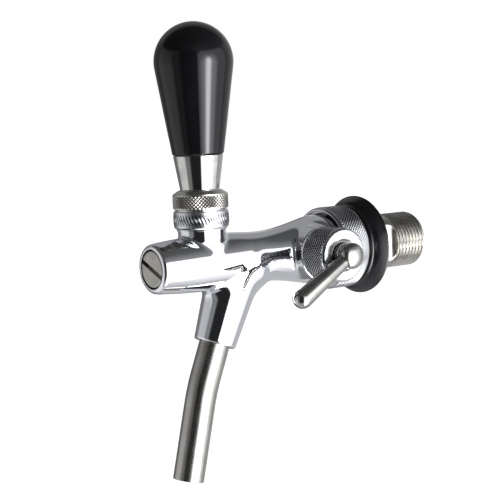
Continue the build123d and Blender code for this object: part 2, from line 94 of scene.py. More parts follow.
# passages through the casting
PLUG_R, PISTON_R, VALVE_SEAT_R, VALVE_SEAT_LENGTH = 7.5, 6.5, 4.4, 3.0
CONE_BORE_FRONT, CONE_BORE_REAR = (-42.0, 6.6), (-24.0, 8.0)              # place along Y, radius
FINGER_HOLE_R, NECK_FLOOR_Z, NECK_BORE_R = 7.0, 8.2, 7.7
STEM_BORE_R, STEM_POCKET_X, STEM_POCKET_R = 5.56, 18.0, 7.2
LEG_BORE_R = 4.7


def span(node):
    """Lowest and highest corner of a CAD node at rest, in millimetres."""
    low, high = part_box(node)
    return np.array(low) / MM, np.array(high) / MM


def middle(node):
    """Centre of a CAD node's box, in millimetres."""
    low, high = span(node)
    return (low + high) / 2


# ---- turned pieces ------------------------------------------------------------------------------

class Axis:
    """A straight turning axis."""

    def __init__(self, origin, direction, side):
        self.origin, self.direction, self.side = np.array(origin), np.array(direction), np.array(side)
        self.third = np.cross(self.direction, self.side)

    def place(self, along, radius, angle):
        """Points at a distance along the axis, a radius and an angle."""
        out = np.cos(angle)[..., None] * self.side + np.sin(angle)[..., None] * self.third
        return self.origin + along[..., None] * self.direction + radius[..., None] * out

    def measure(self, points):
        """Distance along the axis and from it, for an array of points."""
        offset = points - self.origin.astype(points.dtype)
        along = offset @ self.direction.astype(points.dtype)
        square = np.einsum("...i,...i", offset, offset) - along * along
        return along, np.sqrt(np.maximum(square, 0))


class Knurl:
    """Teeth between two points of an outline: diamonds, or slanting ridges with a shallow cross cut."""

    def __init__(self, pitch, depth, stretch=1.0, cross_cut=None):
        self.pitch, self.depth, self.pitch_along = pitch, depth, pitch * stretch
        self.ridged = cross_cut is not None
        self.cross_cut = cross_cut or 0.0


SHANK_AXIS = Axis((0, 0, 0), Y, X)
NECK_AXIS = Axis((0, middle("lever_collar")[1], 0), Z, X)
BOSS_AXIS = Axis((0, middle("compensator_nut")[1], 0), X, Y)


def leg_axis():
    """Axis of the outlet leg, from the barrel's axis down to the tube; it runs through the tube's seal."""
    lean = math.radians(LEG_LEAN)
    seal = middle("spout_oring")
    return Axis((0, seal[1] - seal[2] * math.tan(lean), 0), (0, -math.sin(lean), -math.cos(lean)), X)


def lever_axis():
    """Axis of the side lever's rod, from the spindle outwards."""
    low, high = span("compensator_lever")
    drop = math.radians(LEVER_DROP)
    origin = ((low[0] + high[0]) / 2, BOSS_AXIS.origin[1], 0)
    return Axis(origin, (0, -math.cos(drop), -math.sin(drop)), X)


class TubeAxis:
    """The outlet tube's centreline: straight, one gentle bend, straight again; all in the X = 0 plane."""

    def __init__(self):
        self.leg = leg_axis()
        self.lean = math.radians(LEG_LEAN)
        self.turn = self.lean - math.radians(TUBE_END_LEAN)
        self.bend_start = LEG_LENGTH + TUBE_STRAIGHT
        self.bend_end = self.bend_start + TUBE_BEND_R * self.turn
        self.mouth = self.bend_end + TUBE_LOWER_LENGTH

    def place(self, along, radius, angle):
        straight = np.minimum(along, self.bend_start)
        bent = np.clip(along, self.bend_start, self.bend_end) - self.bend_start
        lower = np.maximum(along - self.bend_end, 0)
        lean = self.lean - bent / TUBE_BEND_R
        start = math.sin(self.lean), math.cos(self.lean)
        y = -straight * start[0] - TUBE_BEND_R * (np.cos(lean) - start[1]) - lower * np.sin(lean)
        z = -straight * start[1] - TUBE_BEND_R * (start[0] - np.sin(lean)) - lower * np.cos(lean)
        centre = self.leg.origin + y[..., None] * Y + z[..., None] * Z
        third = np.cos(lean)[..., None] * -Y + np.sin(lean)[..., None] * Z
        out = np.cos(angle)[..., None] * X + np.sin(angle)[..., None] * third
        return centre + radius[..., None] * out


def arc(centre, radius, start, end, steps=10):
    """Outline points on an arc round (along, radius) = centre; angles in degrees from the axis."""
    angles = np.radians(np.linspace(start, end, steps + 1))
    return [(centre[0] + radius * math.cos(a), centre[1] + radius * math.sin(a)) for a in angles]


def smooth_curve(points, values):
    """Natural cubic spline through (place, height) points, at the given places; level beyond its ends."""
    at, height = np.array(points, float).T
    last = len(at) - 1
    step = np.diff(at)
    rise = np.diff(height) / step
    system = np.eye(last + 1)
    change = np.zeros(last + 1)
    for i in range(1, last):
        system[i, i - 1:i + 2] = step[i - 1], 2 * (step[i - 1] + step[i]), step[i]
        change[i] = 6 * (rise[i] - rise[i - 1])
    bend = np.linalg.solve(system, change)
    i = np.clip(np.searchsorted(at, values) - 1, 0, last - 1)
    done = np.clip(values, at[0], at[-1]) - at[i]
    left = step[i] - done
    curve = (bend[i] * left ** 3 + bend[i + 1] * done ** 3) / (6 * step[i])
    line_from = height[i] / step[i] - bend[i] * step[i] / 6
    line_to = height[i + 1] / step[i] - bend[i + 1] * step[i] / 6
    return curve + line_from * left + line_to * done


def corner(before, point, after, size, steps=4):
    """The arc that rounds one corner of an outline."""
    here = np.array(point)
    u, v = np.array(before) - here, np.array(after) - here
    reach_u, reach_v = np.linalg.norm(u), np.linalg.norm(v)
    u, v = u / reach_u, v / reach_v
    half = math.acos(max(-1.0, min(1.0, float(u @ v)))) / 2
    cut = min(size / math.tan(half), 0.49 * min(reach_u, reach_v))
    start, end = here + u * cut, here + v * cut
    # a quadratic blend stays inside the corner and ends tangent to both sides
    ts = np.linspace(0, 1, steps + 1)[:, None]
    return [tuple(p) for p in (1 - ts) ** 2 * start + 2 * ts * (1 - ts) * here + ts ** 2 * end]


def rows_of(outline, closed):
    """Rows of an outline, rounded and with its knurls filled in: (along, radius, tooth row, knurl)."""
    corners = [p for p in outline if not isinstance(p, Knurl)]
    knurl_after = {}
    for i, item in enumerate(outline):
        if isinstance(item, Knurl):
            knurl_after[sum(not isinstance(p, Knurl) for p in outline[:i]) - 1] = item
    rounded = []
    for i, point in enumerate(corners):
        inside = closed or 0 < i < len(corners) - 1
        if len(point) == 3 and inside:
            before, after = corners[i - 1][:2], corners[(i + 1) % len(corners)][:2]
            rounded.append(corner(before, point[:2], after, point[2]))
        else:
            rounded.append([point[:2]])
    rows = []
    for i, stretch in enumerate(rounded):
        rows += [(along, radius, None, None) for along, radius in stretch]
        if i in knurl_after:
            knurl = knurl_after[i]
            (start, radius), (end, end_radius) = stretch[-1], rounded[(i + 1) % len(rounded)][0]
            count = 2 * max(1, round(abs(end - start) / knurl.pitch_along))
            rows[-1] = (start, radius, 0, knurl)
            for k in range(1, count):
                share = k / count
                here = start + share * (end - start)
                rows.append((here, radius + share * (end_radius - radius), k, knurl))
    return rows


def turned(name, axis, outline, closed=True, columns=144, shape=None, angles=None):
    """A piece of revolution. shape(along, radius, angle) may change the radius of any point."""
    rows = rows_of(outline, closed)
    knurl = next((r[3] for r in rows if r[3]), None)
    if knurl:
        widest = max(r[1] for r in rows)
        columns = 2 * round(2 * math.pi * widest / knurl.pitch)
    if angles is None:
        angles = np.arange(columns) * 2 * math.pi / columns
    columns = len(angles)
    along = np.array([r[0] for r in rows])[:, None] + np.zeros(columns)
    radius = np.array([r[1] for r in rows])[:, None] + np.zeros(columns)
    angle = np.zeros(len(rows))[:, None] + angles
    crest = np.ones(radius.shape)
    for i, (_, _, tooth, pattern) in enumerate(rows):
        if tooth:
            crest[i] = (np.arange(columns) + tooth) % 2 * (1.0 - pattern.cross_cut * (tooth % 2))
            radius[i] += pattern.depth * crest[i]
    if shape:
        radius = shape(along, radius, angle)
    points = axis.place(along, radius, angle).reshape(-1, 3)
    return mesh_piece(name, points, turned_faces(rows, columns, closed), 30, crest=crest.ravel())


def turned_faces(rows, columns, closed):
    """Faces between neighbouring rows; in a knurl each cell is split along its groove."""
    faces = []
    for i in range(len(rows) if closed else len(rows) - 1):
        k = (i + 1) % len(rows)
        tooth, knurl = rows[i][2], rows[i][3]
        for j in range(columns):
            n = (j + 1) % columns
            a, b, c, d = i * columns + j, i * columns + n, k * columns + n, k * columns + j
            if tooth is None:
                faces.append((a, b, c, d))
            elif knurl.ridged or (tooth + j) % 2:
                faces += [(a, b, d), (b, c, d)]
            else:
                faces += [(a, b, c), (a, c, d)]
    return faces


def mesh_piece(name, points, faces, sharp_angle, normals=None, crest=None):
    """A mesh object in metres, with welded doubles, outward faces and sharp edges above an angle."""
    mesh = bpy.data.meshes.new(name)
    mesh.from_pydata((points * MM).tolist(), [], faces)
    if crest is not None:
        # 1 on open surfaces and tooth crests, 0 at the bottom of a knurl's grooves
        mesh.attributes.new("crest", "FLOAT", "POINT").data.foreach_set("value", crest)
    if normals is None:
        work = bmesh.new()
        work.from_mesh(mesh)
        bmesh.ops.remove_doubles(work, verts=work.verts, dist=1e-7)
        bmesh.ops.dissolve_degenerate(work, edges=work.edges, dist=1e-7)
        bmesh.ops.recalc_face_normals(work, faces=work.faces)
        work.to_mesh(mesh)
        work.free()
    mesh.polygons.foreach_set("use_smooth", [True] * len(mesh.polygons))
    if normals is None:
        mesh.set_sharp_from_angle(angle=math.radians(sharp_angle))
    else:
        mesh.normals_split_custom_set_from_vertices(normals.tolist())
    mesh.update()
    piece = bpy.data.objects.new(name, mesh)
    bpy.context.scene.collection.objects.link(piece)
    return piece


# ---- cast and milled pieces, from distance fields ------------------------------------------------

def smooth_min(a, b, size):
    """Union of two fields with a cast radius of about the given size."""
    near = np.maximum(size - np.abs(a - b), 0) / size
    return np.minimum(a, b) - near * near * size / 4


def smooth_max(a, b, size):
    """Intersection of two fields with a rounded edge."""
    return -smooth_min(-a, -b, size)


def bar(axis, points, start, end, start_r, end_r=None, edge=0.3):
    """Distance to a round bar or cone on an axis."""
    end_r = start_r if end_r is None else end_r
    along, radius = axis.measure(points)
    slope = (end_r - start_r) / (end - start)
    side = (radius - start_r - slope * (along - start)) / math.hypot(1, slope)
    return smooth_max(side, np.maximum(start - along, along - end), edge)


def field_piece(name, field, low, high, cell):
    """The surface where a field is zero, as a mesh of near-square faces with the field's own normals."""
    counts = np.ceil((np.array(high) - low) / cell).astype(int) + 1
    axes = [low[i] + cell * np.arange(counts[i], dtype=np.float32) for i in range(3)]
    grid = np.stack(np.meshgrid(*axes, indexing="ij"), -1).astype(np.float32)
    value = field(grid)
    inside = value < 0
    cells = [slice(None, -1), slice(1, None)]
    count = sum(inside[cells[a], cells[b], cells[c]].astype(np.int8)
                for a in (0, 1) for b in (0, 1) for c in (0, 1))
    active = (count > 0) & (count < 8)
    index = np.full(active.shape, -1, np.int64)
    index[active] = np.arange(active.sum())
    points = cell_points(value, active, np.array(low), cell)
    faces = crossing_faces(inside, index)
    points, normals = settle(field, points, cell)
    return mesh_piece(name, points, faces.tolist(), 180, normals)


def cell_points(value, active, low, cell):
    """One point in each active cell: the mean of the places where the surface crosses the cell's edges."""
    where = np.argwhere(active)
    total, hits = np.zeros((len(where), 3)), np.zeros(len(where))
    for direction in range(3):
        others = [d for d in range(3) if d != direction]
        for s in (0, 1):
            for t in (0, 1):
                start = np.zeros(3, int)
                start[others[0]], start[others[1]] = s, t
                end = start.copy()
                end[direction] = 1
                a = value[tuple((where + start).T)]
                b = value[tuple((where + end).T)]
                crosses = (a < 0) != (b < 0)
                share = np.where(crosses, a / np.where(crosses, a - b, 1), 0)
                place = start + share[:, None] * (end - start)
                total += place * crosses[:, None]
                hits += crosses
    return low + cell * (where + total / hits[:, None])


def crossing_faces(inside, index):
    """A four-sided face round every grid edge that the surface crosses."""
    faces = []
    for direction in range(3):
        b, c = (direction + 1) % 3, (direction + 2) % 3
        ahead = [slice(None)] * 3
        ahead[direction] = slice(1, None)
        behind = [slice(None)] * 3
        behind[direction] = slice(None, -1)
        first, second = inside[tuple(behind)], inside[tuple(ahead)]
        for sign in (True, False):
            edge = np.argwhere((first == sign) & (second != sign))
            edge = edge[(edge[:, b] > 0) & (edge[:, c] > 0)]
            around = []
            for db, dc in ((1, 1), (0, 1), (0, 0), (1, 0)):
                cell = edge.copy()
                cell[:, b] -= db
                cell[:, c] -= dc
                around.append(index[tuple(cell.T)])
            quads = np.stack(around if sign else around[::-1], 1)
            faces.append(quads[(quads >= 0).all(1)])
    return np.concatenate(faces)


def gradient(field, points, step=0.02):
    """Gradient of a field at the given points."""
    sides = [field(points + step * d) - field(points - step * d) for d in (X, Y, Z)]
    return np.stack(sides, -1) / (2 * step)


def settle(field, points, cell):
    """Moves points onto the zero surface along the field's gradient, and gives the unit normals there."""
    for _ in range(3):
        slope = gradient(field, points)
        square = np.maximum((slope * slope).sum(1), 0.05)
        move = -(field(points) / square)[:, None] * slope
        size = np.linalg.norm(move, axis=1, keepdims=True)
        points = points + move * np.minimum(1, 0.4 * cell / np.maximum(size, 1e-9))
    slope = gradient(field, points, 0.05)
    return points, slope / np.maximum(np.linalg.norm(slope, axis=1, keepdims=True), 1e-9)


# ---- body ---------------------------------------------------------------------------------------

def body_field(points):
    """The cast body, with its passages: negative inside the metal."""
    low, high = span("tap_body")
    front, rear = low[1], high[1]
    leg = leg_axis()
    along, radius = SHANK_AXIS.measure(points)
    lip = [(front, 9.1), (front + 1.2, 9.42), (front + 3, 9.65), (front + 6, 9.92)]
    skin = radius - smooth_curve(lip + BARREL_R + [(rear, REAR_R)], along)
    barrel = smooth_max(skin, np.maximum(front - along, along - rear), 1.4)

    arch = points[..., 2] + ARCH_CURVE * (points[..., 1] - ARCH_Y) ** 2
    outlet = smooth_max(bar(leg, points, -6, LEG_LENGTH, LEG_TOP_R + 0.3, LEG_END_R, 0.9), arch, 0.8)
    # the cast radius between leg and barrel grows towards the underside
    fillet = 0.9 + 3.3 * np.clip((-5 - points[..., 2]) / 5, 0, 1)
    shape = smooth_min(barrel, outlet, fillet)
    shape = smooth_min(shape, web(leg, points), WEB_BLEND)

    neck_top = span("bonnet_nut")[0][2]
    shape = smooth_min(shape, bar(NECK_AXIS, points, 0, neck_top, NECK_R), NECK_BLEND)

    seat = span("compensator_nut")[0][0]
    shape = smooth_min(shape, bar(BOSS_AXIS, points, 0, seat, BOSS_R, edge=0.6), BOSS_BLEND)
    shape = np.minimum(shape, bar(BOSS_AXIS, points, 0, seat + BOSS_SPIGOT_LENGTH, BOSS_SPIGOT_R))
    shape = np.minimum(shape, bar(NECK_AXIS, points, 0, high[2], NECK_SPIGOT_R))
    return np.maximum(shape, -body_bores(points, front, rear, leg))


def web(leg, points):
    """Metal in the corner behind the leg: a wide elbow with a tighter and thicker one inside it."""
    wide = elbow(leg, points, 27.0, 0.0, (9.2, 9.65, 8.8))
    tight = elbow(leg, points, 12.0, 1.0, (8.6, 11.05, 9.3))
    return smooth_min(wide, tight, 1.5)


def elbow(leg, points, bend_r, back, radii):
    """A round bar on an arc that touches the barrel's and the leg's axes, moved back a little.

    The radii are those at its start, its middle and its end."""
    turn = math.pi / 2 - math.radians(LEG_LEAN)
    reach = bend_r * math.tan(turn / 2)
    y = points[..., 1] - leg.origin[1] - reach - back
    z = points[..., 2] + bend_r
    bend = np.arctan2(-y, z)
    share = np.clip(bend / turn, 0, 1)
    start, middle_r, end = radii
    bulge = 4 * (middle_r - (start + end) / 2)
    bar_r = start + (end - start) * share + bulge * share * (1 - share)
    tube = np.hypot(np.hypot(y, z) - bend_r, points[..., 0]) - bar_r
    past = bend_r * np.maximum(-bend, bend - turn)
    return smooth_max(tube, past, 0.5)


def body_bores(points, front, rear, leg):
    """Every passage through the body, as one field."""
    plug_seat = span("front_plug")[1][1]
    seal_front = span("valve_seal")[0][1]
    cone_front, cone_front_r = CONE_BORE_FRONT
    cone_rear, cone_rear_r = CONE_BORE_REAR
    holes = [bar(SHANK_AXIS, points, front - 5, plug_seat, PLUG_R),
             bar(SHANK_AXIS, points, front, seal_front - VALVE_SEAT_LENGTH, PISTON_R),
             bar(SHANK_AXIS, points, front, seal_front, VALVE_SEAT_R),
             bar(SHANK_AXIS, points, seal_front, cone_front, cone_front_r),
             bar(SHANK_AXIS, points, cone_front, cone_rear, cone_front_r, cone_rear_r),
             bar(SHANK_AXIS, points, cone_rear - 0.2, rear + 5, cone_rear_r),
             bar(NECK_AXIS, points, 0, NECK_FLOOR_Z + 0.8, FINGER_HOLE_R),
             bar(NECK_AXIS, points, NECK_FLOOR_Z, 30, NECK_BORE_R),
             bar(BOSS_AXIS, points, 0, STEM_POCKET_X + 1, STEM_BORE_R),
             bar(BOSS_AXIS, points, STEM_POCKET_X, 40, STEM_POCKET_R),
             bar(leg, points, 3, LEG_LENGTH, LEG_BORE_R),
             bar(leg, points, LEG_LENGTH - TUBE_SOCKET, LEG_LENGTH + 5, TUBE_R + 0.15)]
    return np.minimum.reduce(holes)


def tap_body():
    low, high = span("tap_body")
    piece = field_piece("tap_casting", body_field, low - 1.5, high + 1.5, 0.40)
    return stand_in(piece, "tap_body", "tap", chrome("chrome_casting", wave=1.0))


def neck_rim():
    """Thin turned rim that the bonnet nut seats on."""
    top = span("bonnet_nut")[0][2] - 0.05
    outline = [(top - 0.7, 8.0), (top - 0.7, 9.6, 0.2), (top, 9.6, 0.2), (top, 8.0)]
    piece = turned("neck_rim", NECK_AXIS, outline)
    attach(piece, "tap")
    return paint(piece, chrome("chrome_rim"))


def front_plug():
    """Slotted plug with a rounded edge and a milled slot that drops towards the lever's side."""
    low, high = span("front_plug")
    turn = math.radians(24)
    up = np.array((math.sin(turn), 0, math.cos(turn)))

    def field(points):
        head = bar(SHANK_AXIS, points, low[1], low[1] + 1.3, 7.0, edge=0.7)
        groove = bar(SHANK_AXIS, points, low[1] + 1, low[1] + 4, 5.85)
        thread = bar(SHANK_AXIS, points, low[1] + 2.8, high[1], 7.4, edge=0.6)
        solid = np.minimum(np.minimum(head, groove), thread)
        height = np.abs(points @ up.astype(points.dtype)) - 0.72
        depth = points[..., 1] - (low[1] + 2.2)
        return smooth_max(solid, -smooth_max(height, depth, 0.2), 0.25)

    piece = field_piece("front_plug_slotted", field, low - 0.6, high + 0.6, 0.2)
    look = turned_steel("plug_steel", SHANK_AXIS, (0.50, 0.49, 0.44), 0.30)
    return stand_in(piece, "front_plug", "tap", look)


# ---- neck and handle ----------------------------------------------------------------------------

def bonnet_nut():
    low, high = span("bonnet_nut")
    tooth = 0.22
    root = high[0] - tooth
    edge, groove_r = low[2] + 6.75, 9.7
    dome_foot = math.degrees(math.asin(groove_r / DOME_R))
    mouth = math.degrees(math.acos((high[2] - BALL_Z) / DOME_R))
    outline = [(low[2], 8.95), (low[2], root - 0.45, 0.1), (low[2] + 0.6, root, 0.1),
               Knurl(1.3, tooth, stretch=2.1, cross_cut=0.15), (edge - 0.3, root, 0.2),
               (edge, root - 0.3), (edge, groove_r)]
    outline += arc((BALL_Z, 0), DOME_R, dome_foot, mouth)
    outline += [(17.5, 5.69), (17.5, 8.95)]
    piece = turned("bonnet_nut_knurled", NECK_AXIS, outline)
    # painted shade at the bottom of the knurl's grooves, 0.85 of the way to near black
    look = chrome("chrome_bonnet", groove_shade=0.85, polish=0.22, tone=0.80)
    return stand_in(piece, "bonnet_nut", "tap", look)


def lever_collar():
    low, high = span("lever_collar")
    tooth = 0.28
    root = high[0] - tooth
    shoulder = low[2] + 6.35
    rim = math.degrees(math.acos((low[2] + 0.55 - BALL_Z) / BELL_R))
    hole = math.degrees(math.asin((STEM_R + 0.05) / BELL_R))
    outline = [(low[2] + 0.55, root - 0.1), (low[2] + 0.65, root), Knurl(1.35, tooth),
               (shoulder - 0.15, root, 0.1), (shoulder, root - 0.1, 0.15), (high[2] - 0.25, 8.9, 0.5),
               (high[2], 8.5, 0.2), (high[2], STEM_R + 0.05)]
    outline += arc((BALL_Z, 0), BELL_R, hole, rim)
    piece = turned("lever_collar_knurled", NECK_AXIS, outline)
    # painted shade at the bottom of the knurl's grooves, 0.85 of the way to near black
    look = turned_steel("collar_steel", NECK_AXIS, (0.60, 0.59, 0.545), 0.26, groove_shade=0.85)
    return stand_in(piece, "lever_collar", "handle", look)


def handle_ferrule():
    low, high = span("handle_ferrule")
    foot, top = low[2], low[2] + 13.28
    outline = [(high[2], 0), (high[2], 4.0, 0.4), (top, 4.0), (top, high[0], 0.25), (foot + 0.5, 7.55, 0.8),
               (foot, 7.9, 0.15), (foot, STEM_R + 0.05), (foot + 10, STEM_R + 0.05), (foot + 10, 0)]
    piece = turned("handle_ferrule_cone", NECK_AXIS, outline, closed=False)
    look = turned_steel("ferrule_steel", NECK_AXIS, (0.60, 0.595, 0.57), 0.08)
    return stand_in(piece, "handle_ferrule", "handle", look)


def handle_knob():
    """Pear-shaped handle: a ball end that runs into a straight cone down to the foot."""
    low, high = span("handle_knob")
    ball_r = high[0]
    ball_z = high[2] - ball_r
    foot_r, foot_z = 9.9, low[2] + 0.6
    insert_r, insert_top = span("handle_insert")[1][0] + 0.01, span("handle_insert")[1][2]
    reach = math.hypot(foot_r, foot_z - ball_z)
    touch = math.degrees(math.atan2(foot_r, foot_z - ball_z) - math.acos(ball_r / reach))
    outline = arc((ball_z, 0), ball_r, 0, touch, 40)
    outline += [(foot_z - 0.05, foot_r, 0.5), (low[2], foot_r - 0.45, 0.2), (low[2], insert_r)]
    outline += [(insert_top, insert_r), (insert_top, 0)]
    piece = turned("handle_pear", NECK_AXIS, outline, closed=False, columns=160)
    return stand_in(piece, "handle_knob", "handle", black_phenolic())


# ---- outlet tube --------------------------------------------------------------------------------

def spout_tube():
    path = TubeAxis()
    start = LEG_LENGTH - TUBE_SOCKET + 0.05
    inner = TUBE_R - TUBE_WALL
    steps = np.linspace(path.bend_start, path.bend_end, 13)
    outside = [(start, TUBE_R, 0.15)] + [(s, TUBE_R) for s in steps] + [(path.mouth, TUBE_R, 0.2)]
    inside = [(path.mouth, inner, 0.2)] + [(s, inner) for s in steps[::-1]] + [(start, inner, 0.15)]
    piece = turned("spout_tube_bent", path, outside + inside, columns=96)
    return stand_in(piece, "spout_tube", "tap", drawn_steel())


# ---- compensator --------------------------------------------------------------------------------

def compensator_nut():
    low, high = span("compensator_nut")
    tooth = 0.26
    root = (high[1] - low[1]) / 2 - tooth
    foot, face = low[0], high[0]
    outline = [(foot, 8.65), (foot, root - 0.3, 0.1), (foot + 0.4, root, 0.1), Knurl(1.25, tooth),
               (face - 1.0, root, 0.1), (face - 0.75, root - 0.1, 0.1), (face, root - 0.85, 0.15),
               (face, 6.5, 0.15), (face - 1.1, 5.0, 0.1), (foot + 8.85, 5.0), (foot + 8.85, 8.65)]
    piece = turned("compensator_cap", BOSS_AXIS, outline)
    # painted shade at the bottom of the knurl's grooves, 0.98 of the way to near black
    look = chrome("chrome_cap", groove_shade=0.98, polish=0.16, tone=0.85)
    return stand_in(piece, "compensator_nut", "tap", look)


def compensator_stem():
    """Spindle with seal grooves, shoulder, eccentric pin and a crowned hub outside."""
    low, high = span("compensator_stem")
    hub_end, cap_face = high[0], span("compensator_nut")[1][0]
    rod = lever_axis()
    pin_axis = Axis(BOSS_AXIS.origin - 3.0 * Z, X, Y)

    def field(points):
        along, radius = BOSS_AXIS.measure(points)
        crown = 2.0 * (radius / 5.2) ** 2
        hub = smooth_max(radius - 5.2, np.maximum(cap_face + 0.2 - along, along + crown - hub_end), 1.6)
        hub = np.minimum(hub, bar(BOSS_AXIS, points, 18, cap_face + 1, 4.8))
        journal = bar(BOSS_AXIS, points, 7.6, 18.1, 5.5)
        shoulder = bar(BOSS_AXIS, points, 18.05, 20.05, 6.8)
        pin = bar(pin_axis, points, low[0], 9, 1.5)
        solid = np.minimum(np.minimum(hub, journal), np.minimum(shoulder, pin))
        for place in (10.0, 13.5):
            ring = np.maximum(np.abs(along - place) - 0.75, 4.1 - radius)
            solid = np.maximum(solid, -ring)
        seat = bar(rod, points, -4.0, 12, 2.15)
        mouth = bar(rod, points, 4.3, 12, 2.95)
        return smooth_max(solid, -np.minimum(seat, mouth), 0.3)

    piece = field_piece("compensator_spindle", field, low - 0.8, high + 0.8, 0.28)
    look = turned_steel("spindle_steel", BOSS_AXIS, (0.47, 0.465, 0.44), 0.22)
    return stand_in(piece, "compensator_stem", "spindle", look)


def compensator_lever():
    """Tapered rod with a ball end; its root sits in the hub's cross hole."""
    axis = lever_axis()
    root_r, tip_r, length = 2.75, 3.9, 31.9
    tip = length - tip_r
    outline = [(-3.6, 0), (-3.6, 2.1, 0.3), (4.5, 2.1), (4.5, root_r, 0.3), (tip, tip_r)]
    outline += arc((tip, 0), tip_r, 90, 0, 14)[1:]
    piece = turned("compensator_lever_rod", axis, outline, closed=False, columns=72)
    look = turned_steel("lever_steel", axis, (0.50, 0.495, 0.47), 0.17)
    return stand_in(piece, "compensator_lever", "spindle", look)


# ---- rear end -----------------------------------------------------------------------------------

def coupling_nut():
    low, high = span("coupling_nut")
    tooth = 0.28
    root = high[0] - tooth
    front, rear = low[1], high[1]
    outline = [(front, 15.3, 0.2), (front, root - 0.5, 0.4), (front + 0.9, root, 0.3), (front + 1.3, root),
               Knurl(1.3, tooth), (rear - 0.7, root, 0.1), (rear - 0.1, root - 0.5, 0.2), (rear, 12.0),
               (rear - 1.6, 12.0),
               (rear - 1.6, 14.65), (front + 2.6, 14.65), (front + 2.6, 15.3)]
    piece = turned("coupling_nut_knurled", SHANK_AXIS, outline)
    # painted shade at the bottom of the knurl's grooves, 0.98 of the way to near black
    look = chrome("chrome_coupling", groove_shade=0.98, polish=0.16, tone=0.58)
    return stand_in(piece, "coupling_nut", "coupling", look)


def shank():
    """Shank with a real helical thread, two wrench flats and the head that the coupling nut pulls on."""
    low, high = span("shank")
    head_r, head_front, end = high[0], low[1], high[1]
    major, bore, plain_r = 11.456, 5.0, 11.3
    head_rear = span("coupling_nut")[1][1] - 1.65
    thread_start, flat_start, flat_x, runout = 13.0, 0.6, 8.4, 2.9
    threads = np.arange(thread_start, end - 0.05, THREAD_PITCH / 10)
    outline = [(head_front, bore), (head_front, head_r, 0.3), (head_rear, head_r, 0.3),
               (head_rear, plain_r),
               (flat_start - 0.02, plain_r), (flat_start, plain_r)]
    runout_start = thread_start - 0.05 - runout
    outline += [(runout_start + runout * math.sin(math.radians(a)), plain_r) for a in range(0, 91, 10)]
    outline += [(y, major) for y in threads]
    outline += [(end, major), (end, bore + 0.6), (end - 0.6, bore)]
    corner_angle = math.acos(flat_x / plain_r)
    corners = [corner_angle, math.pi - corner_angle, math.pi + corner_angle, 2 * math.pi - corner_angle]
    angles = np.unique(np.concatenate([np.linspace(0, 2 * math.pi, 180, endpoint=False), corners]))

    def form(along, radius, angle):
        turns = along / THREAD_PITCH - angle / (2 * math.pi)
        wave = np.abs(turns % 1.0 - 0.5) * 2
        depth = THREAD_DEPTH * np.clip((0.72 - wave) / 0.60, 0, 1)
        chamfer = major + 0.1 - np.clip(along - (end - 1.0), 0, 2)
        threaded = (radius > bore + 1) & (along >= thread_start)
        radius = np.where(threaded, np.minimum(major - depth, chamfer), radius)
        rise = np.clip((along - runout_start) / runout, 0, 1)
        face = flat_x + runout * (1 - np.sqrt(1 - rise * rise))
        flat = (along >= flat_start) & (along < thread_start) & (radius > bore + 1)
        return np.where(flat, np.minimum(radius, face / np.maximum(np.abs(np.cos(angle)), 0.01)), radius)

    piece = turned("shank_threaded", SHANK_AXIS, outline, shape=form, angles=angles)
    look = turned_steel("shank_steel", SHANK_AXIS, (0.50, 0.49, 0.455), 0.30)
    return stand_in(piece, "shank", "tap", look)


def wall_flange():
    """Black flange: flared rim, rounded front lip, shallow recess and a flat back."""
    low, high = span("wall_flange")
    front, rim = low[1], high[0]
    bore = 11.4
    flare = [(front + 0.3, 15.85), (front + 0.75, 16.35), (front + 1.6, 16.75), (-4.4, 17.6), (-3.3, 18.5),
             (-2.1, 19.25), (-0.45, rim)]
    places = np.linspace(flare[0][0], flare[-1][0], 28)
    outline = [(0, bore, 0.1), (front + 1.9, bore, 0.3), (front + 1.9, 14.9, 0.3), (front, 15.1, 0.3)]
    outline += [(y, r) for y, r in zip(places, smooth_curve(flare, places))]
    outline += [(0, rim, 0.2)]
    piece = turned("wall_flange_flared", SHANK_AXIS, outline, columns=160)
    return stand_in(piece, "wall_flange", "tap", black_moulding())


# ---- materials ----------------------------------------------------------------------------------

